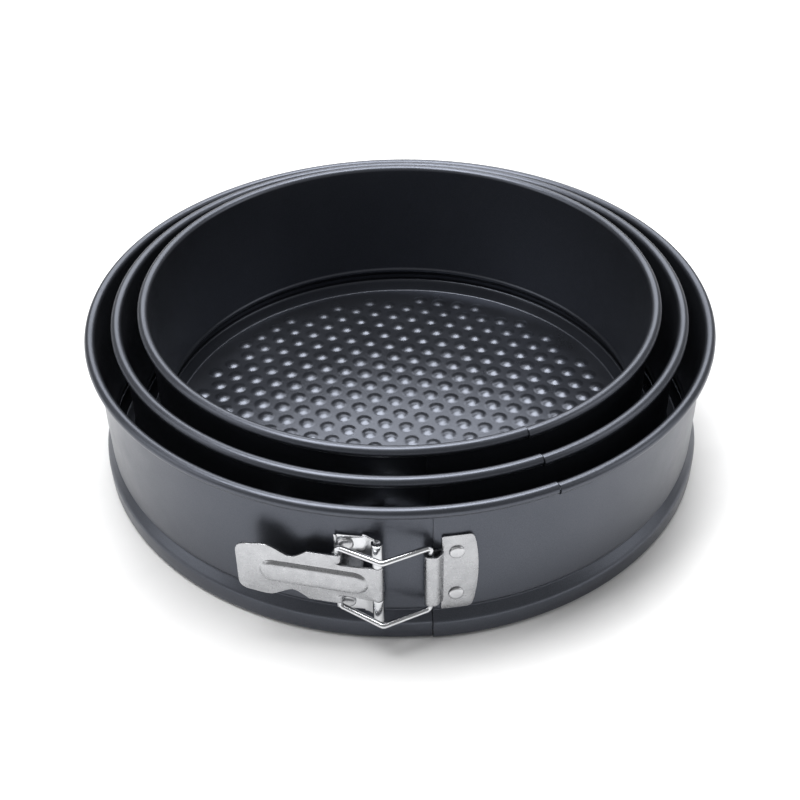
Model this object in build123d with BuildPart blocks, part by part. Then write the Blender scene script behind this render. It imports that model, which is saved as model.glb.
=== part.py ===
"""Three springform cake pans that nest in one another, each a loose base in a lever-clasped band.

Millimetres, +Z up. The origin is the middle of the underside of the largest base, and the clasps
face -Y. Azimuths are degrees from -Y towards +X, seen from above.
"""

import os
from math import asin, cos, degrees, radians, sin, sqrt

from build123d import *

os.makedirs("parts", exist_ok=True)

# Pans, largest first: inside radius of the wall, and height of the band
PANS = {"outer": (140.0, 72.0), "middle": (127.5, 75.0), "inner": (115.0, 78.0)}

# Sheet steel of the bands and bases
sheet = 0.6
rim_radius = 2.4        # outside of the rolled rim
rim_turn = 290          # how far round the rim is rolled
shoulder_top = 13.5     # where the wall starts to flare out
shoulder_foot = 8.6     # where the groove for the base is widest
groove_depth = 2.9      # how far the groove lies outside the wall
foot_radius = 1.8
lip = 0.9               # the lip under the base ends this far outside the wall

# The band's overlap: the right end lies over the left end
lap_step = 0.8          # how much further out the right end sits at the front
lap_start = 5.0         # azimuth of the right end's edge
lap_end = 25.0          # azimuth where the left end and its rim stop
groove_end = 4.85       # azimuth where the left end's groove stops
rim_gap = 0.15          # degrees between the ends of the rim
under_rim_gap = 0.3     # the right end stops this far under the left end's rim
back_gap = 0.06         # half the gap between the halves of the largest band, in degrees

# Bases
edge_start = 3.0        # the raised edge is a piece of its own from this far inside the wall
floor_bend = 0.6        # the flat floor bends up this far inside the wall
edge_bend = 0.7
base_rise = 6.5         # height of the raised edge
base_edge = 2.6         # the edge stands this far outside the wall, inside the groove
edge_turn, edge_drop = 1.0, 0.3             # width and drop of the edge's turned-out tip
edge_slack = 0.1
field_margin = 6.0      # plain border around the dimpled field
dimple_rise = 1.0
nest_rise = sheet + dimple_rise

# Clasp, symmetric about the height clasp_z. Places are x, and distance from the wall
clasp_z = 35.8
plate = 1.0             # sheet of the bracket, lever and catch plate
pin_radius = 1.3
pin_recess = 0.8        # the pin's ends lie this far inside the bracket's knuckles
wire_radius = 1.2
running_fit = 0.05
pivot_x, pivot_off = -9.4, 5.2
knuckle_radius = 2.4
knuckle_low, knuckle_high = 9.2, 21.4       # from clasp_z to the ends of each bracket knuckle
bracket_x = (-25.6, -15.0)
bracket_half = 20.4
lever_length = 57.3
lever_end_gap = 2.0     # the tip stands this much further from the axis of the pan than the pivot
lever_corner = 4.5
tongue_half, tongue_neck = 9.0, 8.3         # half widths at the pivot and beside the eyes
shoulder = (15.0, 28.0)                     # where the wide part begins and ends
shoulder_slant = 0.6
waist = (34.8, 9.2)                         # place and half width of the narrowest part
paddle = (44.5, 13.7, 12.8)                 # place and half width of the widest part, and of the end
eye_along = 16.1        # from the pivot to the eyes that hold the bail
eye_radius = 2.15
eye_low, eye_high = 9.1, 13.1
bail_tuck = 0.2         # the bail's ends stick out of the eyes this far
rib_start = 3.6
rib_length, rib_width, rib_rise = 44.0, 11.0, 1.6
rib_slope = 35
kink_x = -7.6
kink_off = {"outer": 11.3, "middle": 10.2, "inner": 10.2}
eye_arm_half, catch_arm_half = 16.2, 17.2   # heights of the bail's arms at their ends
kink_upper, kink_lower = 16.4, 18.6
wire_bend = 2.0
catch_x, catch_off = 11.2, 3.8
catch_radius = 2.5
catch_half = 13.4
catch_azimuths = (6.3, 12.3)
catch_plate_half = 20.2
catch_bow = 2.2         # how far the plate's right edge bows out
catch_corner = 1.6
tip_gap = 0.25          # the bail's tips stop this far from the ends of the catch roll
catch_rivet_azimuth, catch_rivet_half = 8.7, 11.5
bracket_rivet_x, bracket_rivet_half = -21.5, 16.0
shank_radius = 1.6
head_radius, head_height = 3.2, 1.1
head_crown = 0.45       # share of the head's radius that is flat on top
lead_in = 0.3           # degrees of plate that a riser or hem starts along


def direction(azimuth):
    """Unit vector away from the axis of the pans."""
    return Vector(sin(radians(azimuth)), -cos(radians(azimuth)), 0)


def upright_plane(azimuth, axis_y=0.0):
    """Plane through an upright axis, its x away from the axis and its y upwards."""
    return Plane(origin=(0, axis_y, 0), x_dir=direction(azimuth), z_dir=direction(azimuth - 90))


def near_wall(x, off, wall):
    """Point at x whose distance from a wall of that radius is off."""
    return Vector(x, -sqrt((wall + off) ** 2 - x * x), 0)


def save(piece, name):
    """Labels a finished piece and writes it."""
    piece.part.label = name
    export_step(piece.part, f"parts/{name}.step")


# Bands

def band_line(radius, height, rim, groove):
    """Middle of the strip in section. Where the ends overlap, one has no groove and one no rim."""
    wall = radius + sheet / 2
    top = height - rim_radius if rim else height - 2 * rim_radius - under_rim_gap
    if rim:
        CenterArc((radius + rim_radius, top), rim_radius - sheet / 2, 180, -rim_turn)
    Line((wall, top), (wall, shoulder_top))
    if groove:
        out = wall + groove_depth
        foot = foot_radius + sheet / 2
        Spline((wall, shoulder_top), (out, shoulder_foot), tangents=((0, -1), (0, -1)))
        Line((out, shoulder_foot), (out, foot))
        CenterArc((out - foot_radius, foot), foot_radius, 0, -90)
        Line((out - foot_radius, sheet / 2), (radius + lip, sheet / 2))


def add_strip(radius, height, axis_y, start, end, rim=True, groove=True):
    """Adds the band's section turned about an upright axis, from one azimuth to another."""
    with BuildSketch(upright_plane(start, axis_y)) as section:
        with BuildLine() as line:
            band_line(radius, height, rim, groove)
        trace(lines=line.line, line_width=sheet)
    revolve(section.sketch, axis=Axis((0, axis_y, 0), (0, 0, 1)), revolution_arc=end - start)


def add_left_strip(radius, height, gap):
    """The band from the back, round the left, to its hidden end behind the overlap."""
    add_strip(radius, height, 0, gap - 180, groove_end)
    add_strip(radius, height, 0, groove_end, lap_end, groove=False)


def add_right_strip(radius, height, gap):
    """The band from the overlap, round the right, to the back. It steps out towards the front."""
    turned = lap_step / 2
    add_strip(radius + turned, height, -turned, lap_start, lap_end + rim_gap, rim=False)
    add_strip(radius + turned, height, -turned, lap_end + rim_gap, 180 - gap)


def rivet_plane(azimuth, off, half, wall):
    """Plane on the outside of the wall, facing out."""
    place = direction(azimuth) * (wall + off) + Vector(0, 0, clasp_z + half)
    return Plane(origin=place, x_dir=(0, 0, 1), z_dir=direction(azimuth))


def drill(azimuth, off, half, wall):
    """Holes for a pair of rivets through whatever the current piece has at that place."""
    for side in (half, -half):
        with BuildSketch(rivet_plane(azimuth, off - 3, side, wall)) as hole:
            Circle(shank_radius)
        extrude(hole.sketch, amount=8, mode=Mode.SUBTRACT)


# Bases

def make_base(radius):
    """The floor with its dimpled field."""
    with BuildPart() as base:
        with BuildSketch():
            Circle(radius - edge_start)
        extrude(amount=sheet)
        with BuildSketch(Plane.XY.offset(sheet)):
            Circle(radius - field_margin)
        extrude(amount=dimple_rise, taper=45)
    return base


def make_base_edge(radius):
    """The rest of the base: its raised edge, which stands in the band's groove."""
    with BuildPart() as edge:
        with BuildSketch(Plane.XZ):
            with BuildLine() as section:
                FilletPolyline(
                    (radius - edge_start, sheet / 2),
                    (radius - floor_bend, sheet / 2),
                    (radius + base_edge - edge_turn, base_rise - edge_drop),
                    (radius + base_edge - edge_slack, base_rise),
                    radius=edge_bend,
                )
            trace(lines=section.line, line_width=sheet)
        revolve(axis=Axis.Z)
    return edge


# Clasp

def add_knuckle(centre, outer, low, high):
    """A rolled tube about an upright line, between two heights from clasp_z."""
    with BuildSketch(Plane.XY.offset(clasp_z + low)) as ring:
        with Locations((centre.X, centre.Y)):
            Circle(outer)
    extrude(ring.sketch, amount=high - low)


def bore(centre, radius, half):
    """An upright hole through the whole piece."""
    with BuildSketch(Plane.XY.offset(clasp_z - half)) as hole:
        with Locations((centre.X, centre.Y)):
            Circle(radius)
    extrude(hole.sketch, amount=2 * half, mode=Mode.SUBTRACT)


def wall_arc(radius, start, end):
    """Arc in plan along the wall, between two azimuths."""
    return CenterArc((0, 0), radius, start - 90, end - start)


def azimuth_of(point):
    """Azimuth of a point on the clasp's side of the pan."""
    return degrees(asin(point.X / Vector(point.X, point.Y, 0).length))


def make_bracket(wall, pivot):
    """Plate on the wall, with two risers that roll round the pivot pin."""
    seat = wall + plate / 2
    left, right = (azimuth_of(near_wall(x, 0, seat)) for x in bracket_x)
    roll = pivot - pivot.normalized() * (knuckle_radius - plate / 2)
    along = direction(azimuth_of(pivot) + 90)
    with BuildPart() as bracket:
        with BuildSketch(Plane.XY.offset(clasp_z - bracket_half)):
            with BuildLine() as plan:
                wall_arc(seat, left, right)
            trace(lines=plan.line, line_width=plate)
        extrude(amount=2 * bracket_half)
        for low in (knuckle_low, -knuckle_high):
            with BuildSketch(Plane.XY.offset(clasp_z + low)):
                with BuildLine() as plan:
                    arc = wall_arc(seat, right - lead_in, right)
                    Spline(arc @ 1, roll, tangents=(arc % 1, along))
                trace(lines=plan.line, line_width=plate)
            extrude(amount=knuckle_high - knuckle_low)
            add_knuckle(pivot, knuckle_radius, low, low + knuckle_high - knuckle_low)
        bore(pivot, pin_radius + running_fit, knuckle_high + 1)
        drill(azimuth_of(near_wall(bracket_rivet_x, 0, wall)), 0, bracket_rivet_half, wall)
    return bracket


def lever_plane(wall, pivot):
    """Inner face of the lever: origin abreast of the pivot, x towards the tip."""
    start = wall + pivot_off + knuckle_radius - plate / 2
    end = start + lever_end_gap
    turn = degrees(asin((lever_length**2 + start**2 - end**2) / (2 * lever_length * start)))
    out = direction(azimuth_of(pivot) - turn)
    origin = pivot + out * (knuckle_radius - plate) + Vector(0, 0, clasp_z)
    return Plane(origin=origin, x_dir=direction(azimuth_of(pivot) - turn - 90), z_dir=out)


def lever_outline():
    """Tongue, shoulder with the eyes, waist, and the paddle for the thumb."""
    with BuildLine() as outline:
        Polyline(
            (0, tongue_half),
            (shoulder[0] - shoulder_slant, tongue_neck),
            (shoulder[0], eye_high),
            (shoulder[1], eye_high),
        )
        dip = Spline((shoulder[1], eye_high), waist, paddle[:2], tangents=((1, -0.8), (1, 0)))
        Spline(dip @ 1, (lever_length, paddle[2]), tangents=(dip % 1, (1, -0.1)))
        Line((lever_length, paddle[2]), (lever_length, 0))
        mirror(about=Plane.XZ)
        Line((0, -tongue_half), (0, tongue_half))
    make_face(outline.line.edges())
    fillet(vertices().group_by(Axis.X)[-1], radius=lever_corner)


def make_lever(wall, pivot, eye):
    """Stamped lever: a knuckle on the pivot, two eyes for the bail, and a long raised rib."""
    face = lever_plane(wall, pivot)
    outside = face.offset(plate)
    with BuildPart() as lever:
        with BuildSketch(face):
            lever_outline()
        extrude(amount=plate)
        with BuildSketch(outside):
            with Locations((rib_start + rib_length / 2, 0)):
                SlotOverall(rib_length, rib_width)
        extrude(amount=rib_rise, taper=rib_slope)
        with BuildSketch(face):
            with Locations((rib_start + rib_length / 2, 0)):
                SlotOverall(rib_length - 3 * plate, rib_width - 3 * plate)
        extrude(amount=rib_rise, taper=rib_slope, mode=Mode.SUBTRACT)
        add_knuckle(pivot, knuckle_radius, -tongue_half, tongue_half)
        add_knuckle(eye, eye_radius, eye_low, eye_high)
        add_knuckle(eye, eye_radius, -eye_high, -eye_low)
        bore(pivot, pin_radius + running_fit, knuckle_high)
        bore(eye, wire_radius + running_fit, knuckle_high)
    return lever


def make_wire(points):
    """Round wire along straight runs with bent corners."""
    with BuildPart() as wire:
        with BuildLine() as path:
            FilletPolyline(*points, radius=wire_bend)
        with BuildSketch(Plane(origin=path.line @ 0, z_dir=path.line % 0)):
            Circle(wire_radius)
        sweep()
    return wire


def arm_points(eye, kink, catch, side, kink_half):
    """Route of one arm of the bail, from its end in the lever's eye to the catch roll."""
    return (
        Vector(eye.X, eye.Y, clasp_z + side * (eye_low - bail_tuck)),
        Vector(eye.X, eye.Y, clasp_z + side * eye_arm_half),
        Vector(kink.X, kink.Y, clasp_z + side * kink_half),
        Vector(catch.X, catch.Y, clasp_z + side * catch_arm_half),
    )


def make_catch_plate(wall, catch):
    """Plate on the overlapping end, with a roll along its edge that holds the bail."""
    seat = wall + lap_step + plate / 2
    start, end = catch_azimuths
    roll = catch - catch.normalized() * (catch_radius - plate / 2)
    tangent = direction(azimuth_of(catch) + 90)
    with BuildPart() as catch_plate:
        with BuildSketch(Plane.XY.offset(clasp_z - catch_plate_half)):
            with BuildLine() as plan:
                wall_arc(seat, start, end)
            trace(lines=plan.line, line_width=plate)
        extrude(amount=2 * catch_plate_half)
        with BuildSketch(Plane.XZ):
            with BuildLine():
                left, right = seat * sin(radians(start)), seat * sin(radians(end))
                low, high = clasp_z - catch_plate_half, clasp_z + catch_plate_half
                bowed = right - catch_bow
                Polyline((bowed, low), (left - plate, low), (left - plate, high), (bowed, high))
                ThreePointArc((bowed, high), (right - plate / 10, clasp_z), (bowed, low))
            make_face()
            fillet(vertices().group_by(Axis.X)[-1], radius=catch_corner)
        extrude(amount=wall + 20, mode=Mode.INTERSECT)
        with BuildSketch(Plane.XY.offset(clasp_z - catch_half)):
            with BuildLine() as plan:
                arc = wall_arc(seat, start + lead_in, start)
                Spline(arc @ 1, roll, tangents=(arc % 1, tangent * -1))
            trace(lines=plan.line, line_width=plate)
        extrude(amount=2 * catch_half)
        add_knuckle(catch, catch_radius, -catch_half, catch_half)
        bore(catch, wire_radius + running_fit, catch_half + 1)
        drill(catch_rivet_azimuth, lap_step, catch_rivet_half, wall)
    return catch_plate


def make_rivet(plane):
    """A rivet with a button head, flush on the inside of the band."""
    with BuildPart() as rivet:
        with BuildSketch(Plane(origin=plane.origin, x_dir=plane.z_dir, z_dir=plane.x_dir)):
            with BuildLine():
                Polyline((-sheet, 0), (-sheet, shank_radius), (plate, shank_radius), (plate, head_radius))
                top = plate + head_height
                Spline((plate, head_radius), (top, head_radius * head_crown), tangents=((1, 0), (0, -1)))
                Polyline((top, head_radius * head_crown), (top, 0), (-sheet, 0))
            make_face()
        revolve(axis=Axis(plane.origin, plane.z_dir))
    return rivet


def make_clasp(wall, kink_distance, opens):
    """All pieces of one clasp. Where it opens, the bail is in two arms that clear the catch roll."""
    pivot = near_wall(pivot_x, pivot_off, wall)
    face = lever_plane(wall, pivot)
    eye = pivot + face.x_dir * eye_along + face.z_dir * (knuckle_radius - eye_radius)
    kink = near_wall(kink_x, kink_distance, wall)
    catch = near_wall(catch_x, catch_off, wall)
    upper = arm_points(eye, kink, catch, 1, kink_upper)
    lower = arm_points(eye, kink, catch, -1, kink_lower)
    pieces = {"lever_bracket": make_bracket(wall, pivot), "lever": make_lever(wall, pivot, eye)}
    pieces["catch_plate"] = make_catch_plate(wall, catch)
    if opens:
        tip = catch_half + tip_gap
        for arm, points, side in (("upper", upper, 1), ("lower", lower, -1)):
            end = Vector(catch.X, catch.Y, clasp_z + side * tip)
            pieces[f"bail_{arm}_arm"] = make_wire((*points, end))
        with BuildPart() as caught:
            add_knuckle(catch, wire_radius, -catch_half, catch_half)
        pieces["catch_wire"] = caught
    else:
        pieces["bail"] = make_wire((*upper, *reversed(lower)))
    with BuildPart() as pin:
        add_knuckle(pivot, pin_radius, pin_recess - knuckle_high, knuckle_high - pin_recess)
    pieces["pivot_pin"] = pin
    for side, label in ((1, "upper"), (-1, "lower")):
        on_catch = rivet_plane(catch_rivet_azimuth, lap_step, side * catch_rivet_half, wall)
        left = azimuth_of(near_wall(bracket_rivet_x, 0, wall))
        on_bracket = rivet_plane(left, 0, side * bracket_rivet_half, wall)
        pieces[f"catch_rivet_{label}"] = make_rivet(on_catch)
        pieces[f"bracket_rivet_{label}"] = make_rivet(on_bracket)
    return pieces


def make_band(left_part, right_part, wall, radius, height, gap):
    """The band, or one half of it, drilled for its rivets."""
    bracket_azimuth = azimuth_of(near_wall(bracket_rivet_x, 0, wall))
    with BuildPart() as band:
        if left_part:
            add_left_strip(radius, height, gap)
            drill(bracket_azimuth, 0, bracket_rivet_half, wall)
        if right_part:
            add_right_strip(radius, height, gap)
            drill(catch_rivet_azimuth, lap_step, catch_rivet_half, wall)
    return band


for index, (name, (radius, height)) in enumerate(PANS.items()):
    wall = radius + sheet
    bottom = index * nest_rise
    pieces = {f"{name}_base": make_base(radius), f"{name}_base_edge": make_base_edge(radius)}
    if index:
        pieces[f"{name}_band"] = make_band(True, True, wall, radius, height, 0)
    else:
        pieces[f"{name}_band_left"] = make_band(True, False, wall, radius, height, back_gap)
        pieces[f"{name}_band_right"] = make_band(False, True, wall, radius, height, back_gap)
    for label, piece in make_clasp(wall, kink_off[name], opens=index == 0).items():
        pieces[f"{name}_{label}"] = piece
    for label, piece in pieces.items():
        piece.part.position = (0, 0, bottom)
        save(piece, label)
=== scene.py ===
"""Looks of the nested springform pans: smooth sheet metal, dimpled floors, clasp, studio.

Lengths are in millimetres until a mesh is made, and azimuths are degrees from -Y towards +X.
"""

from math import asin, atan2, cos, degrees, exp, hypot, pi, radians, sin, sqrt, tan

import bmesh
import bpy
from mathutils import Matrix, Vector
from mathutils.geometry import delaunay_2d_cdt


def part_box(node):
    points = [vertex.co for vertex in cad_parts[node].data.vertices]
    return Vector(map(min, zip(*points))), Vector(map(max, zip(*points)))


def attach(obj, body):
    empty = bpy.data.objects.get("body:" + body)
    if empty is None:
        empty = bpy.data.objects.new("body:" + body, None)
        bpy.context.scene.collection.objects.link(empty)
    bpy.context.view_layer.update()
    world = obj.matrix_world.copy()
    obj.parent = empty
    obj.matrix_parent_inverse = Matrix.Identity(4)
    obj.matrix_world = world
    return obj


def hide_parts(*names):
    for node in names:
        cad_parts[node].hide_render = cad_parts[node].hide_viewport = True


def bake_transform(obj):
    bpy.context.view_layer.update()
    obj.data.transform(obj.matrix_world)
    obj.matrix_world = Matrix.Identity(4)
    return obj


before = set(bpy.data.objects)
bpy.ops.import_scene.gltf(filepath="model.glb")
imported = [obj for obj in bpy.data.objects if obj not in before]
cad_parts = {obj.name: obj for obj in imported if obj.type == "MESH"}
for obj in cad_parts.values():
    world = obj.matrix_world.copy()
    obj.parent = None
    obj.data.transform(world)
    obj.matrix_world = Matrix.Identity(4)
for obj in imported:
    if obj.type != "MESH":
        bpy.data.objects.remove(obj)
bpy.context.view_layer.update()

MM = 0.001

# Sheet metal, as in the CAD model
SHEET = 0.6
RIM_RADIUS, RIM_TURN = 2.4, 290
SHOULDER_TOP, SHOULDER_FOOT = 13.5, 8.6
GROOVE_DEPTH, FOOT_RADIUS, LIP = 2.9, 1.8, 0.9
BEAD, BEAD_Z, BEAD_REACH = 0.8, 13.9, 1.0     # slight inward bead above the groove
LAP_STEP, LAP_START, LAP_END = 0.8, 5.0, 25.0
GROOVE_END, RIM_GAP, UNDER_RIM_GAP = 4.85, 0.15, 0.3
BACK_ARC = 14.0          # degrees each side of the back that the separate back part spans
FLOOR_BEND, BASE_RISE, BASE_EDGE = 0.6, 6.5, 2.6
FIELD_MARGIN, DIMPLE_RISE = 6.0, 1.0
DIMPLE_PITCH, DIMPLE_RADIUS, DIMPLE_TURN = 10.8, 4.2, -15.5
DIMPLE_BORDER = 0.35     # width of the flat ring round each dimple
FIELD_EDGE = 3.0         # dimple centres keep this far inside the field
FLAT_START = 2.4         # the rings of the base begin this far outside the field
FLOOR_ROUND = 0.9        # radius of the bend up to the raised edge
EDGE_TURN, EDGE_INSET = 1.0, 0.3     # width of the edge's turned-out tip, start of its bend

# Clasp, as in the CAD model
CLASP_Z, PLATE = 35.8, 1.0
WIRE_RADIUS = 1.2
PIVOT_X, PIVOT_OFF, KNUCKLE_RADIUS = -9.4, 5.2, 2.4
KNUCKLE_LOW, KNUCKLE_HIGH = 9.2, 21.4
BRACKET_X, BRACKET_HALF = (-25.6, -15.0), 20.4
LEVER_LENGTH, LEVER_END_GAP, LEVER_CORNER = 57.3, 2.0, 4.5
TONGUE_HALF, TONGUE_NECK = 9.0, 8.3
TONGUE_STEP = 1.7        # the tongue widens over this length before the eyes
SHOULDER_END, WAIST, PADDLE = 28.0, (34.8, 9.2), (44.5, 13.7, 12.8)
SHOULDER_WAY, WAIST_WAY, PADDLE_WAY = (4.6, -3.7), (6.5, 0), (9.0, 0.9)     # tangents there
END_WAYS = (8.0, 0.8), (8.0, -0.8)
KNUCKLE_CURL = 285       # degrees that the lever's knuckle and lugs are rolled
EYE_ALONG, EYE_RADIUS, EYE_LOW, EYE_HIGH = 16.1, 2.15, 9.1, 13.1
RIB_START, RIB_LENGTH, RIB_WIDTH, RIB_RISE = 3.6, 44.0, 11.0, 1.6
RIB_STEPS = ((1.06, 0), (1.0, 0.07), (0.93, 0.34), (0.85, 0.62),
             (0.74, 0.82), (0.55, 0.94), (0.3, 0.99), (0.1, 1))     # shares of its width and rise
BRACKET_ROLL = 300       # degrees that the bracket's risers are rolled
BRACKET_CURL = ((0.15, 0.12), (0.0, 0.5), (-0.05, 1.0))     # azimuth and lift of its curled edge
KINK_X, KINK_OFF, WIRE_BEND = -7.6, {"outer": 11.3, "middle": 10.2, "inner": 10.2}, 2.0
EYE_ARM_HALF, CATCH_ARM_HALF = 16.2, 17.2
KINK_UPPER, KINK_LOWER = 16.4, 18.6
CATCH_X, CATCH_OFF, CATCH_RADIUS, CATCH_HALF = 11.2, 3.8, 2.5, 13.4
CATCH_AZIMUTHS, CATCH_PLATE_HALF = (6.3, 12.3), 20.2
CATCH_CORNER, CATCH_BOW = 1.6, 2.2
HEM_TURN, HEM_RUN = 180, 1.7     # the hem's roll in degrees, and its straight end
TIP_GAP = 0.25
WIRE_TUCK = 0.2          # the wire's ends stand this far out of the lever's lugs
WIRE_SIDES, WIRE_EDGE = 24, 0.2
POINT = 0.02             # radius that closes a wire's end

# How finely the shapes are divided, and how their edges are broken and welded
TURN_STEP = 1.5         # degrees of a band or base
EDGE_SIDES = 240        # sides of a base's rings
WALL_ROWS, BEAD_ROWS, GROOVE_ROWS = 18, 10, 12
RIB_RUN = 1.5           # spacing along the rib
SHARP_ANGLE = 50        # edges sharper than this are broken
EDGE_BREAK = 0.16       # width of a stamped piece's broken edges
STRIP_WELD, WELD, WIRE_WELD = 0.000005, 0.00001, 0.00003     # metres


def pan_sizes(name):
    """Inside radius of the wall, rim height above the pan's own foot, and height of that foot."""
    low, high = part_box(f"{name}_base_edge")
    band = f"{name}_band" if name != "outer" else "outer_band_left"
    radius = (high.x - low.x) / 2 / MM - BASE_EDGE
    return round(radius, 1), round((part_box(band)[1].z - low.z) / MM, 1), low.z / MM


# Geometry helpers

def direction(azimuth):
    """Unit vector away from the axis of the pans."""
    return Vector((sin(radians(azimuth)), -cos(radians(azimuth)), 0))


def azimuth_of(point):
    return degrees(atan2(point.x, -point.y))


def near_wall(x, off, wall):
    """Point at x whose distance from a wall of that radius is off."""
    return Vector((x, -sqrt((wall + off) ** 2 - x * x), 0))


def arc(centre, radius, start, turn, count):
    """Points of an arc in a plane, from a start angle through a turn, both in degrees."""
    angles = [radians(start + turn * i / count) for i in range(count + 1)]
    return [(centre[0] + radius * cos(a), centre[1] + radius * sin(a)) for a in angles]


def smooth(t):
    t = min(max(t, 0.0), 1.0)
    return t * t * (3 - 2 * t)


def bead(z):
    """How far the inward bead stands in from the wall at a height."""
    return BEAD * exp(-((z - BEAD_Z) / BEAD_REACH)**2)


def linked(name, data):
    """An object of a mesh, light or camera, in the scene."""
    piece = bpy.data.objects.new(name, data)
    bpy.context.scene.collection.objects.link(piece)
    return piece


def built(name, sheet):
    """An object of a finished bmesh."""
    mesh = bpy.data.meshes.new(name)
    sheet.to_mesh(mesh)
    sheet.free()
    return linked(name, mesh)


def mesh_object(name, rows):
    """An object from a grid of points in millimetres, given row by row."""
    mesh = bpy.data.meshes.new(name)
    width = len(rows[0])
    points = [Vector(p) * MM for row in rows for p in row]
    faces = []
    for i in range(len(rows) - 1):
        for j in range(width - 1):
            near, far = i * width + j, (i + 1) * width + j
            faces.append((near, far, far + 1, near + 1))
    mesh.from_pydata(points, [], faces)
    return linked(name, mesh)


def apply_modifiers(piece):
    """Makes the modifiers' result the piece's own mesh."""
    graph = bpy.context.evaluated_depsgraph_get()
    mesh = bpy.data.meshes.new_from_object(piece.evaluated_get(graph))
    piece.modifiers.clear()
    piece.data = mesh
    return piece


def thicken(piece, thickness, offset=0.0, bevel=0.0, even=True):
    """Turns a surface into sheet metal with softly broken edges."""
    solid = piece.modifiers.new("sheet", "SOLIDIFY")
    solid.thickness = thickness * MM
    solid.offset = offset
    solid.use_even_offset = even
    if bevel:
        edges = piece.modifiers.new("edges", "BEVEL")
        edges.width = bevel * MM
        edges.segments = 2
        edges.limit_method = "ANGLE"
        edges.angle_limit = radians(SHARP_ANGLE)
    return apply_modifiers(piece)


def shade_smooth(piece, angle=35):
    piece.data.polygons.foreach_set("use_smooth", [True] * len(piece.data.polygons))
    piece.data.set_sharp_from_angle(angle=radians(angle))


def dress(piece, material, slot, body, *nodes):
    """Finishes a piece: smooth shading, material, the body that it rides on, and what it replaces."""
    shade_smooth(piece)
    piece.data.materials.clear()
    piece.data.materials.append(material)
    if body:
        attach(piece, body)
    if nodes:
        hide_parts(*nodes)
    return piece


# Materials

def new_material(name):
    material = bpy.data.materials.new(name)
    material.use_nodes = True
    nodes, links = material.node_tree.nodes, material.node_tree.links
    return material, nodes, links, nodes["Principled BSDF"]


def noise(nodes, links, scale, detail=3.0, stretch=(1, 1, 1)):
    """Noise in the pans' own space, with its scale given in features per metre."""
    place = nodes.new("ShaderNodeTexCoord")
    mapping = nodes.new("ShaderNodeMapping")
    mapping.inputs["Scale"].default_value = stretch
    texture = nodes.new("ShaderNodeTexNoise")
    texture.inputs["Scale"].default_value = scale
    texture.inputs["Detail"].default_value = detail
    links.new(place.outputs["Object"], mapping.inputs["Vector"])
    links.new(mapping.outputs["Vector"], texture.inputs["Vector"])
    return texture.outputs["Fac"]


def ramp(nodes, links, fac, low, high, start=0.3, stop=0.7):
    """A colour between two, by a factor."""
    node = nodes.new("ShaderNodeValToRGB")
    for element, place, colour in zip(node.color_ramp.elements, (start, stop), (low, high)):
        element.position = place
        element.color = (*colour, 1)
    links.new(fac, node.inputs["Fac"])
    return node.outputs["Color"]


def spread(nodes, links, fac, low, high):
    """A value between two, by a factor."""
    node = nodes.new("ShaderNodeMapRange")
    node.inputs["From Min"].default_value = 0.3
    node.inputs["From Max"].default_value = 0.7
    node.inputs["To Min"].default_value = low
    node.inputs["To Max"].default_value = high
    links.new(fac, node.inputs["Value"])
    return node.outputs["Result"]


def bumps(nodes, links, shader, *layers):
    """Bump from several noises, each with the height of its features in metres."""
    last = None
    for fac, height, strength in layers:
        node = nodes.new("ShaderNodeBump")
        node.inputs["Strength"].default_value = strength
        node.inputs["Distance"].default_value = height
        links.new(fac, node.inputs["Height"])
        if last:
            links.new(last, node.inputs["Normal"])
        last = node.outputs["Normal"]
    links.new(last, shader.inputs["Normal"])


def nonstick(name, low, high, roughness):
    """Dark blue-grey coating with a fine grain and a little unevenness in its gloss."""
    material, nodes, links, shader = new_material(name)
    shader.inputs["Metallic"].default_value = 0.86
    grain = noise(nodes, links, 3200, 2)
    cloud = noise(nodes, links, 60, 3)
    links.new(ramp(nodes, links, grain, low, high), shader.inputs["Base Color"])
    gloss = spread(nodes, links, cloud, roughness - 0.03, roughness + 0.05)
    links.new(gloss, shader.inputs["Roughness"])
    bumps(nodes, links, shader, (grain, 0.00004, 0.35), (noise(nodes, links, 900, 2), 0.00003, 0.2))
    return material


def steel(name, low, high, roughness, draw=(1, 1, 1)):
    """Plated steel: satin where it was stamped, with faint mottling and draw marks."""
    material, nodes, links, shader = new_material(name)
    shader.inputs["Metallic"].default_value = 1.0
    cloud = noise(nodes, links, 220, 4)
    lines = noise(nodes, links, 900, 3, draw)
    height = 0.00001
    links.new(ramp(nodes, links, cloud, low, high), shader.inputs["Base Color"])
    gloss = spread(nodes, links, lines, roughness - 0.03, roughness + 0.05)
    links.new(gloss, shader.inputs["Roughness"])
    bumps(nodes, links, shader, (lines, height, 0.1), (cloud, height * 3, 0.12))
    return material


band_coat = nonstick("band_coating", (0.068, 0.074, 0.09), (0.098, 0.105, 0.124), 0.33)
base_coat = nonstick("base_coating", (0.068, 0.074, 0.09), (0.098, 0.105, 0.124), 0.3)
stamped = steel("stamped_steel", (0.40, 0.405, 0.42), (0.47, 0.475, 0.49), 0.28)
bright = steel("bright_steel", (0.62, 0.63, 0.65), (0.72, 0.73, 0.75), 0.16)
wire_steel = steel("drawn_wire", (0.6, 0.61, 0.63), (0.7, 0.71, 0.73), 0.2, (0.15, 1, 1))
rivet_metal = steel("rivet_metal", (0.5, 0.505, 0.52), (0.62, 0.625, 0.64), 0.3, (1, 1, 0.3))
pin_metal = steel("pin_metal", (0.5, 0.5, 0.52), (0.6, 0.6, 0.62), 0.28)


# Bands

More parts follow.
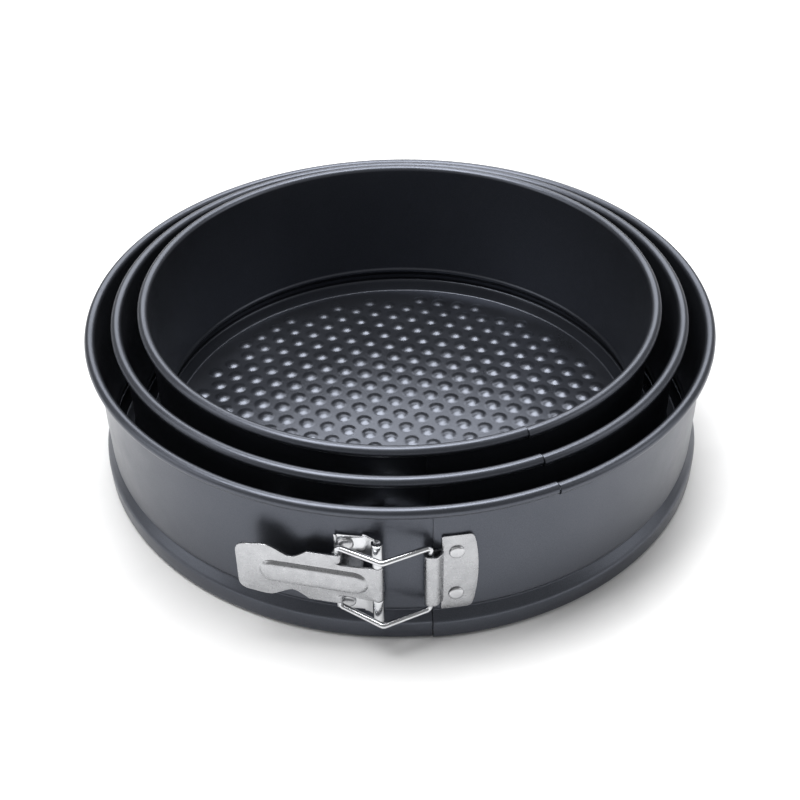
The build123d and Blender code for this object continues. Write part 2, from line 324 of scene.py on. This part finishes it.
def band_section(radius, height, rim, groove):
    """Middle of the strip in section, from the rolled rim down to the lip."""
    wall = radius + SHEET / 2
    top = height - RIM_RADIUS
    bare = height - 2 * RIM_RADIUS - UNDER_RIM_GAP
    points = []
    if rim:
        points += arc((radius + RIM_RADIUS, top), RIM_RADIUS - SHEET / 2, 180 - RIM_TURN, RIM_TURN, 30)
    beaded = SHOULDER_TOP + 3 * BEAD_REACH
    heights = [bare + (beaded - bare) * i / WALL_ROWS for i in range(WALL_ROWS)]
    heights += [beaded + (SHOULDER_TOP - beaded) * i / BEAD_ROWS for i in range(BEAD_ROWS + 1)]
    points += [(wall - bead(z), z) for z in heights]
    if groove:
        out, foot = wall + GROOVE_DEPTH, FOOT_RADIUS + SHEET / 2
        drop = SHOULDER_FOOT - SHOULDER_TOP
        for i in range(1, GROOVE_ROWS + 1):
            z = SHOULDER_TOP + drop * i / GROOVE_ROWS
            points.append((wall - bead(z) + GROOVE_DEPTH * smooth(i / GROOVE_ROWS), z))
        points += arc((out - FOOT_RADIUS, foot), FOOT_RADIUS, 0, -90, 8)
        points.append((radius + LIP, SHEET / 2))
    return points


def strip(radius, height, stretches):
    """Sheet metal turned about an upright axis. Each stretch has its own start and end azimuth, a shift
    of the axis towards the front, and whether it has the rim and the groove."""
    sheet = bmesh.new()
    for start, end, shift, rim, groove in stretches:
        section = band_section(radius, height, rim, groove)
        count = max(2, round((end - start) / TURN_STEP))
        last = None
        for i in range(count + 1):
            azimuth = start + (end - start) * i / count
            out = direction(azimuth)
            off = shift(azimuth)
            row = [sheet.verts.new(Vector(((r + off) * out.x, (r + off) * out.y - off, z)) * MM)
                   for r, z in section]
            if last:
                for j in range(len(row) - 1):
                    sheet.faces.new((last[j], row[j], row[j + 1], last[j + 1]))
            last = row
    bmesh.ops.remove_doubles(sheet, verts=sheet.verts, dist=STRIP_WELD)
    return thicken(built("strip", sheet), SHEET)


def raised(piece, height):
    """Lifts a piece's mesh to its pan's place in the nest."""
    piece.data.transform(Matrix.Translation((0, 0, height * MM)))
    return piece


def left_stretches(back):
    """The band from near the back, round the left, to its hidden end behind the overlap."""
    return [(back - 180, GROOVE_END, lambda a: 0, True, True),
            (GROOVE_END, LAP_END, lambda a: 0, True, False)]


def right_stretches(back):
    """The band from the overlap, round the right, to near the back."""
    joint = LAP_END + RIM_GAP
    half = LAP_STEP / 2
    return [(LAP_START, joint, lambda a: half, False, True),
            (joint, 180 - back, lambda a: half, True, True)]


def back_stretch():
    """The part at the back, between the left and the right part, riding on neither of them."""
    half = LAP_STEP / 2
    return [(180 - BACK_ARC, 180, lambda a: half, True, True),
            (180, 180 + BACK_ARC, lambda a: 0, True, True)]


def make_band(name, radius, height, foot):
    """The band of a pan. The outer one is in a left and a right part with a separate arc between, which
    rides on neither.
    """
    if name != "outer":
        band = strip(radius, height, left_stretches(0) + right_stretches(0))
        band.name = f"{name}_band_strip"
        dress(raised(band, foot), band_coat, "nonstick_band", f"{name}_pan", f"{name}_band")
        return
    for side, stretches in (("left", left_stretches(BACK_ARC)), ("right", right_stretches(BACK_ARC))):
        band = strip(radius, height, stretches)
        band.name = f"outer_band_{side}_strip"
        dress(band, band_coat, "nonstick_band", f"outer_band_{side}", f"outer_band_{side}")
    back = strip(radius, height, back_stretch())
    back.name = "outer_band_back"
    dress(back, band_coat, "nonstick_band", None)
    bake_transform(back)


# Bases

def base_edge_section(radius):
    """Top of the base in section, from just outside the dimples to the tip of its raised edge."""
    bend = (radius - FLOOR_BEND, SHEET)
    top = (radius + BASE_EDGE - EDGE_TURN, BASE_RISE)
    begin = radius - FIELD_MARGIN + FLAT_START
    points = [(begin + (bend[0] - FLOOR_ROUND - begin) * i / 3, SHEET) for i in range(4)]
    slope = atan2(top[1] - bend[1], top[0] - bend[0])
    middle = (bend[0] - FLOOR_ROUND, SHEET + FLOOR_ROUND)
    points += [(middle[0] + FLOOR_ROUND * sin(slope * t), middle[1] - FLOOR_ROUND * cos(slope * t))
               for t in (0.2, 0.4, 0.6, 0.8, 1.0)]
    foot = points[-1]
    head = (top[0] - EDGE_INSET, top[1] - EDGE_INSET)
    points += [(foot[0] + (head[0] - foot[0]) * i / 4, foot[1] + (head[1] - foot[1]) * i / 4)
               for i in range(1, 5)]
    points.append((top[0] - 0.05, top[1] + 0.05))
    points.append((top[0] + EDGE_INSET, top[1] + 0.2))
    points.append((radius + BASE_EDGE - 0.05, top[1] + 0.27))
    return points


def lattice(radius):
    """Centres of the dimples that fit in a field."""
    turn = radians(DIMPLE_TURN)
    reach = int(radius / DIMPLE_PITCH) + 2
    centres = []
    for i in range(-2 * reach, 2 * reach + 1):
        for j in range(-reach, reach + 1):
            x, y = DIMPLE_PITCH * (i + j / 2), DIMPLE_PITCH * j * sqrt(3) / 2
            x, y = x * cos(turn) - y * sin(turn), x * sin(turn) + y * cos(turn)
            if hypot(x, y) < radius - FIELD_EDGE:
                centres.append((x, y))
    return centres


def ring(radius, count, height, centre=(0, 0)):
    """Points of a level circle."""
    angles = [2 * pi * k / count for k in range(count)]
    return [(centre[0] + radius * cos(a), centre[1] + radius * sin(a), height) for a in angles]


def make_base(name, radius, foot):
    """Dimpled floor and raised edge of one base, pressed from one sheet."""
    rings = [ring(r, EDGE_SIDES, z) for r, z in base_edge_section(radius)]
    sides, levels_up = (16, 7) if name == "inner" else (12, 4)
    centres = lattice(radius - FIELD_MARGIN)
    outers = [ring(DIMPLE_RADIUS + DIMPLE_BORDER, sides, SHEET, centre) for centre in centres]
    border = [(x, y) for x, y, _ in rings[0]]
    points, faces = patch(border, outers, [])
    owner = {}
    for k, loop in enumerate(outers):
        owner.update({point: k for point in loop})
    sheet = bmesh.new()
    corners = [sheet.verts.new(Vector((p[0], p[1], SHEET)) * MM) for p in points]
    for face in faces:
        owners = {owner.get(points[k], -1) for k in face}
        if len(owners) > 1 or -1 in owners:
            sheet.faces.new([corners[k] for k in face])
    for (x, y), loop in zip(centres, outers):
        last = [sheet.verts.new(Vector(p) * MM) for p in loop]
        for level in range(levels_up, 0, -1):
            share = level / levels_up
            rise = DIMPLE_RISE * (1 - share**2.5)**1.8
            here = ring(share * DIMPLE_RADIUS, sides, SHEET + rise, (x, y))
            row = [sheet.verts.new(Vector(p) * MM) for p in here]
            for k in range(sides):
                after = (k + 1) % sides
                sheet.faces.new((last[k], last[after], row[after], row[k]))
            last = row
        top = sheet.verts.new(Vector((x, y, SHEET + DIMPLE_RISE)) * MM)
        for k in range(sides):
            sheet.faces.new((last[k], last[(k + 1) % sides], top))
    for near, far in zip(rings, rings[1:]):
        a, b = ([sheet.verts.new(Vector(p) * MM) for p in level] for level in (near, far))
        for k in range(EDGE_SIDES):
            after = (k + 1) % EDGE_SIDES
            sheet.faces.new((a[k], b[k], b[after], a[after]))
    bmesh.ops.remove_doubles(sheet, verts=sheet.verts, dist=WELD)
    bmesh.ops.recalc_face_normals(sheet, faces=sheet.faces)
    if sum(face.normal.z for face in sheet.faces) < 0:
        bmesh.ops.reverse_faces(sheet, faces=sheet.faces)
    base = built(f"{name}_base_pressing", sheet)
    thicken(base, SHEET - 0.02, -1, 0, False)
    body = "outer_base" if name == "outer" else f"{name}_pan"
    replaced = f"{name}_base", f"{name}_base_edge"
    return dress(raised(base, foot), base_coat, "nonstick_base", body, *replaced)


# Clasps

class Clasp:
    """Places of one pan's clasp, as in the CAD model."""

    def __init__(self, name, radius, foot):
        wall = radius + SHEET
        start = wall + PIVOT_OFF + KNUCKLE_RADIUS - PLATE / 2
        end = start + LEVER_END_GAP
        turn = degrees(asin((LEVER_LENGTH**2 + start**2 - end**2) / (2 * LEVER_LENGTH * start)))
        self.name, self.wall = name, wall
        self.pivot = near_wall(PIVOT_X, PIVOT_OFF, wall)
        azimuth = azimuth_of(self.pivot) - turn
        self.out, self.along = direction(azimuth), direction(azimuth - 90)
        self.eye = self.pivot + self.along * EYE_ALONG + self.out * (KNUCKLE_RADIUS - EYE_RADIUS)
        self.kink = near_wall(KINK_X, KINK_OFF[name], wall)
        self.catch = near_wall(CATCH_X, CATCH_OFF, wall)
        self.middle = Vector((0, 0, foot + CLASP_Z))

    def at(self, along, up, off):
        """A point from its distance along the lever, above its centre line, and out from the pivot."""
        return self.pivot + self.middle + self.along * along + self.out * off + Vector((0, 0, up))

    def raised(self, point, up):
        return point + self.middle + Vector((0, 0, up))


def hermite(a, b, ta, tb, count):
    """Points of a smooth curve between two points with given tangents, without its first point."""
    found = []
    for i in range(1, count + 1):
        t = i / count
        w = (2 * t**3 - 3 * t**2 + 1, t**3 - 2 * t**2 + t, 3 * t**2 - 2 * t**3, t**3 - t**2)
        found.append(tuple(a[k] * w[0] + ta[k] * w[1] + b[k] * w[2] + tb[k] * w[3] for k in (0, 1)))
    return found


def patch(outline, loops, spots):
    """Triangles inside an outline, with inner loops as edges. Loops and spots carry a height."""
    points = [(*p, 0.0) for p in outline]
    edges = [(k, (k + 1) % len(outline)) for k in range(len(outline))]
    for loop in loops:
        first = len(points)
        points += loop
        edges += [(first + k, first + (k + 1) % len(loop)) for k in range(len(loop))]
    points += spots
    found = delaunay_2d_cdt([Vector(p[:2]) for p in points], edges, [], 1, 0.00001)
    source = [ids[0] for ids in found[3]]
    return [points[k] for k in source], found[2]


def add_patch(sheet, points, faces, place):
    corners = [sheet.verts.new(place(*p) * MM) for p in points]
    for face in faces:
        sheet.faces.new([corners[k] for k in face])


def add_rows(sheet, rows):
    """Quads between rows of points."""
    last = None
    for row in rows:
        corners = [sheet.verts.new(p * MM) for p in row]
        if last:
            for k in range(len(corners) - 1):
                sheet.faces.new((last[k], corners[k], corners[k + 1], last[k + 1]))
        last = corners


def pressed(name, sheet, thickness):
    """Welds the patches of a stamped piece, thickens it and breaks its edges."""
    bmesh.ops.remove_doubles(sheet, verts=sheet.verts, dist=WELD)
    bmesh.ops.recalc_face_normals(sheet, faces=sheet.faces)
    return thicken(built(name, sheet), thickness, 0, EDGE_BREAK)


def levels(low, high, step=1.0):
    """Evenly spaced values from low to high."""
    count = max(1, round((high - low) / step))
    return [low + (high - low) * i / count for i in range(count + 1)]


def lever_half():
    """Upper half of the lever's outline, from the knuckle to the middle of its end."""
    half = [(0.0, v) for v in levels(0, TONGUE_HALF)[1:]]
    half += [(EYE_ALONG - TONGUE_STEP, TONGUE_NECK), (EYE_ALONG, EYE_LOW)]
    half += [(EYE_ALONG, v) for v in levels(EYE_LOW, EYE_HIGH)[1:]]
    half.append((SHOULDER_END, EYE_HIGH))
    half += hermite(half[-1], WAIST, SHOULDER_WAY, WAIST_WAY, 8)
    half += hermite(WAIST, PADDLE[:2], WAIST_WAY, PADDLE_WAY, 8)
    corner = (LEVER_LENGTH - LEVER_CORNER, PADDLE[2] - LEVER_CORNER)
    half += hermite(half[-1], (corner[0], PADDLE[2]), *END_WAYS, 5)
    half += [(corner[0] + LEVER_CORNER * sin(radians(a)), corner[1] + LEVER_CORNER * cos(radians(a)))
             for a in range(15, 91, 15)]
    return half


def rib_loops():
    """Long rounded rib, as closed loops that step up its side."""
    loops = []
    start, end = RIB_START + RIB_WIDTH / 2, RIB_START + RIB_LENGTH - RIB_WIDTH / 2
    for share, rise in RIB_STEPS:
        r = share * RIB_WIDTH / 2
        loop = [(u, r) for u in levels(start, end, RIB_RUN)]
        loop += [(end + r * sin(radians(a)), r * cos(radians(a))) for a in range(15, 180, 15)]
        loop += [(u, -r) for u in reversed(levels(start, end, RIB_RUN))]
        loop += [(start - r * sin(radians(a)), -r * cos(radians(a))) for a in range(15, 180, 15)]
        loops.append([(u, v, rise * RIB_RISE) for u, v in loop])
    return loops


def make_lever(clasp, body):
    """Stamped lever: rolled knuckle, two rolled lugs for the bail, a soft rib and rounded corners."""
    half = lever_half()
    outline = [(0.0, 0.0), *half, (LEVER_LENGTH, 0.0)]
    outline += [(u, -v) for u, v in reversed(half)]
    middle = KNUCKLE_RADIUS - PLATE / 2
    points, faces = patch(outline, rib_loops(), [])
    sheet = bmesh.new()
    add_patch(sheet, points, faces, lambda u, v, rise: clasp.at(u, v, middle + rise))
    curl = [radians(90 + a) for a in range(0, KNUCKLE_CURL + 1, 15)]
    across = levels(-TONGUE_HALF, 0) + levels(0, TONGUE_HALF)[1:]
    add_rows(sheet, [[clasp.at(middle * cos(a), v, middle * sin(a)) for v in across] for a in curl])
    lug = EYE_RADIUS - PLATE / 2
    for side in (-1, 1):
        ups = [side * v for v in levels(EYE_LOW, EYE_HIGH)]
        add_rows(sheet, [[clasp.at(EYE_ALONG + lug * cos(a), v, middle - lug + lug * sin(a)) for v in ups]
                         for a in curl])
    piece = pressed(f"{clasp.name}_lever_stamping", sheet, PLATE)
    return dress(piece, stamped, "clasp_plate", body, f"{clasp.name}_lever")


def turn_about(centre, start, degrees_on, count=16):
    """Points in plan that go round a centre from a start point."""
    arm = start - centre
    turns = [radians(degrees_on * i / count) for i in range(1, count + 1)]
    return [centre + Matrix.Rotation(turn, 3, "Z") @ arm for turn in turns]


def plan_curve(a, b, ta, tb, count=8):
    return [Vector((*p, 0)) for p in hermite(a, b, ta, tb, count)]


def make_bracket(clasp, body):
    """Plate with a curled edge on the wall, and two risers rolled round the pin."""
    seat = clasp.wall + PLATE / 2
    left, right = (azimuth_of(near_wall(x, 0, seat)) for x in BRACKET_X)
    plate = [direction(a) * seat for a in levels(left + 0.35, right, 0.5)]
    lift = [direction(left + azimuth) * (seat + rise) for azimuth, rise in BRACKET_CURL]
    plate = list(reversed(lift)) + plate
    ray = clasp.pivot.normalized()
    inner = clasp.pivot - ray * (KNUCKLE_RADIUS - PLATE / 2)
    along = direction(azimuth_of(clasp.pivot) + 90)
    end_way = direction(right + 90)
    riser = [plate[-1], *plan_curve(plate[-1], inner, end_way * 5.5, along * 4.5, 10)]
    riser += turn_about(clasp.pivot, inner, -BRACKET_ROLL)
    sheet = bmesh.new()
    cuts = levels(-BRACKET_HALF, -KNUCKLE_LOW)
    cuts += levels(-KNUCKLE_LOW, KNUCKLE_LOW)[1:]
    cuts += levels(KNUCKLE_LOW, BRACKET_HALF)[1:]
    add_rows(sheet, [[clasp.raised(p, v) for v in cuts] for p in plate])
    for side in (-1, 1):
        ups = [side * v for v in levels(KNUCKLE_LOW, BRACKET_HALF) + [KNUCKLE_HIGH]]
        add_rows(sheet, [[clasp.raised(p, v) for v in ups] for p in riser])
    piece = pressed(f"{clasp.name}_bracket_stamping", sheet, PLATE)
    return dress(piece, bright, "lever_bracket", body, f"{clasp.name}_lever_bracket")


def catch_outline(width):
    """Outline of the catch plate in its own flat: straight on the left, bowed on the right."""
    half, corner = CATCH_PLATE_HALF, CATCH_CORNER
    side = [(0.0, v) for v in levels(0, CATCH_HALF) + levels(CATCH_HALF, half - 0.5)[1:]]
    side += [(0.5, half), (width - CATCH_BOW - corner, half)]
    side += [(width - CATCH_BOW - corner * 0.4, half - 0.35), (width - 2.0, half - corner)]
    side += [(width - 2.1 * (v / half)**2, v) for v in (15.0, 11.0, 7.5, 4.0)]
    return side


def make_catch_plate(clasp, body):
    """Plate whose edge is hemmed round the bail, with the hem's end pressed onto the plate."""
    seat = clasp.wall + LAP_STEP + PLATE / 2
    start, end = CATCH_AZIMUTHS
    width = radians(end - start) * seat
    side = catch_outline(width)
    outline = side + [(width, 0.0)] + [(u, -v) for u, v in reversed(side[1:])]
    spots = [(u, v, 0) for u in levels(1.5, width - 3, 2) for v in levels(-17, 17, 2.5)]
    points, faces = patch(outline, [], spots)
    sheet = bmesh.new()
    add_patch(sheet, points, faces,
              lambda u, v, _: clasp.raised(direction(start + degrees(u / seat)) * seat, v))
    ray = clasp.catch.normalized()
    inner = clasp.catch - ray * (CATCH_RADIUS - PLATE / 2)
    along = direction(azimuth_of(clasp.catch) + 90)
    edge = direction(start) * seat
    web = [edge, *plan_curve(edge, inner, direction(start - 90) * 3.0, -along * 3.0)]
    web += turn_about(clasp.catch, inner, HEM_TURN, 14)
    web.append(web[-1] + along * HEM_RUN)
    landing = direction(start + 0.1) * (seat + PLATE + 0.15)
    web += plan_curve(web[-1], landing, along * 3.0, direction(start) * -2.5)
    ups = levels(-CATCH_HALF, 0) + levels(0, CATCH_HALF)[1:]
    add_rows(sheet, [[clasp.raised(p, v) for v in ups] for p in web])
    piece = pressed(f"{clasp.name}_catch_stamping", sheet, PLATE)
    return dress(piece, stamped, "clasp_plate", body, f"{clasp.name}_catch_plate")


def rounded_path(points, bend):
    """Points along straight runs whose corners are bent."""
    path = [points[0]]
    for before, corner, after in zip(points, points[1:], points[2:]):
        a, b = (before - corner).normalized(), (after - corner).normalized()
        half = a.angle(b) / 2
        reach = bend / tan(half)
        centre = corner + (a + b).normalized() * (bend / sin(half))
        first, last = corner + a * reach - centre, corner + b * reach - centre
        turn = first.angle(last)
        axis = first.cross(last).normalized()
        path += [centre + Matrix.Rotation(turn * i / 8, 3, axis) @ first for i in range(9)]
    return path + [points[-1]]


def hoop(centre, side, up, radius):
    """Points round a wire's section, the first one repeated at the end."""
    angles = [2 * pi * i / WIRE_SIDES for i in range(WIRE_SIDES + 1)]
    return [centre + (side * cos(a) + up * sin(a)) * radius for a in angles]


def make_wire(name, points, body, *nodes):
    """Round wire with bent corners and slightly rounded ends."""
    path = rounded_path(points, WIRE_BEND)
    ways = [(b - a).normalized() for a, b in zip(path, path[1:])]
    ways = [ways[0]] + [(a + b).normalized() for a, b in zip(ways, ways[1:])] + [ways[-1]]
    side = ways[0].orthogonal().normalized()
    rows = []
    for k, (point, way) in enumerate(zip(path, ways)):
        side = (side - way * side.dot(way)).normalized()
        up = way.cross(side)
        end = [hoop(point, side, up, POINT), hoop(point, side, up, WIRE_RADIUS - WIRE_EDGE)]
        if k == 0:
            rows += [*end, hoop(point + way * WIRE_EDGE, side, up, WIRE_RADIUS)]
        elif k == len(path) - 1:
            rows += [hoop(point - way * WIRE_EDGE, side, up, WIRE_RADIUS), *reversed(end)]
        else:
            rows.append(hoop(point, side, up, WIRE_RADIUS))
    sheet = bmesh.new()
    add_rows(sheet, rows)
    bmesh.ops.remove_doubles(sheet, verts=sheet.verts, dist=WIRE_WELD)
    bmesh.ops.recalc_face_normals(sheet, faces=sheet.faces)
    return dress(built(name, sheet), wire_steel, "clasp_wire", body, *nodes)


def bail_points(clasp, side, kink_half):
    """Corners of the bail's upper or lower half, from its end in the lever's lug to the catch."""
    return [clasp.raised(clasp.eye, side * (EYE_LOW - WIRE_TUCK)),
            clasp.raised(clasp.eye, side * EYE_ARM_HALF),
            clasp.raised(clasp.kink, side * kink_half),
            clasp.raised(clasp.catch, side * CATCH_ARM_HALF)]


def make_clasp(name, radius, foot):
    clasp = Clasp(name, radius, foot)
    outer = name == "outer"
    pan = f"{name}_pan"
    make_lever(clasp, "outer_lever" if outer else pan)
    make_bracket(clasp, "outer_band_left" if outer else pan)
    make_catch_plate(clasp, "outer_band_right" if outer else pan)
    upper, lower = bail_points(clasp, 1, KINK_UPPER), bail_points(clasp, -1, KINK_LOWER)
    if not outer:
        make_wire(f"{name}_bail_wire", upper + lower[::-1], pan, f"{name}_bail")
        return
    for label, points, side in (("upper", upper, 1), ("lower", lower, -1)):
        tip = clasp.raised(clasp.catch, side * (CATCH_HALF + TIP_GAP))
        make_wire(f"outer_bail_{label}_wire", [*points, tip], "outer_bail", f"outer_bail_{label}_arm")


pans = {name: pan_sizes(name) for name in ("outer", "middle", "inner")}
for name, (radius, height, foot) in pans.items():
    make_band(name, radius, height, foot)
    make_base(name, radius, foot)
    make_clasp(name, radius, foot)

# Carried-over clasp parts keep their CAD shape and get better materials
METALS = {"lever_bracket": bright, "lever": stamped, "catch_plate": stamped, "pivot_pin": pin_metal,
          "bail": wire_steel, "bail_upper_arm": wire_steel, "bail_lower_arm": wire_steel,
          "catch_wire": wire_steel, "catch_rivet_upper": rivet_metal, "catch_rivet_lower": rivet_metal,
          "bracket_rivet_upper": rivet_metal, "bracket_rivet_lower": rivet_metal}
for name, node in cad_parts.items():
    metal = METALS.get(name.split("_", 1)[1])
    if metal:
        shade_smooth(node, 30)
        for slot in node.material_slots:
            slot.material = metal

# Studio
GROUND_SIDE, GROUND_FRONT, GROUND_BACK, GROUND_Z = 4000, -3000, 5000, -0.3
ground = mesh_object("ground", [[(x, GROUND_FRONT, GROUND_Z), (x, GROUND_BACK, GROUND_Z)]
                                for x in (-GROUND_SIDE, GROUND_SIDE)])
paper, nodes, links, shader = new_material("paper")
tone = ramp(nodes, links, noise(nodes, links, 40), (0.9, 0.9, 0.9), (0.93, 0.93, 0.93))
links.new(tone, shader.inputs["Base Color"])
shader.inputs["Roughness"].default_value = 0.7
ground.data.materials.append(paper)
bpy.context.scene.view_settings.view_transform = "Standard"


def softbox(name, place, width, length, power):
    """A rectangular light that faces the middle of the pans."""
    light = bpy.data.lights.new(name, "AREA")
    light.shape = "RECTANGLE"
    light.size, light.size_y = width, length
    light.energy = power
    lamp = linked(name, light)
    lamp.location = place
    lamp.rotation_euler = (LIGHT_AIM - Vector(place)).to_track_quat("-Z", "Y").to_euler()


# Metres and watts
LIGHT_AIM = Vector((0, 0, 0.04))
softbox("overhead", (-0.1, 0.15, 1.3), 1.5, 0.6, 26)
softbox("behind", (0.0, 1.15, 0.95), 1.5, 0.7, 11)
softbox("left", (-1.4, -0.3, 0.7), 0.9, 0.9, 4)
softbox("right", (1.4, -0.2, 0.7), 0.7, 0.9, 3)

world = bpy.data.worlds.new("studio")
world.use_nodes = True
background = world.node_tree.nodes["Background"]
background.inputs["Color"].default_value = (1, 1, 1, 1)
background.inputs["Strength"].default_value = 0.28
bpy.context.scene.world = world

# Camera: place in metres, then turns in degrees
CAMERA_PLACE = (0.0008, -0.480, 0.3869)
CAMERA_YAW, CAMERA_TILT, CAMERA_ROLL = 0.11, 52.06, -0.78
lens = bpy.data.cameras.new("camera")
lens.lens = 55.1
lens.sensor_width = 36
camera = linked("camera", lens)
view = Matrix.Rotation(radians(CAMERA_YAW), 4, "Z") @ Matrix.Rotation(radians(CAMERA_TILT), 4, "X")
camera.matrix_world = (Matrix.Translation(CAMERA_PLACE) @ view
                       @ Matrix.Rotation(radians(CAMERA_ROLL), 4, "Z"))
bpy.context.scene.camera = camera
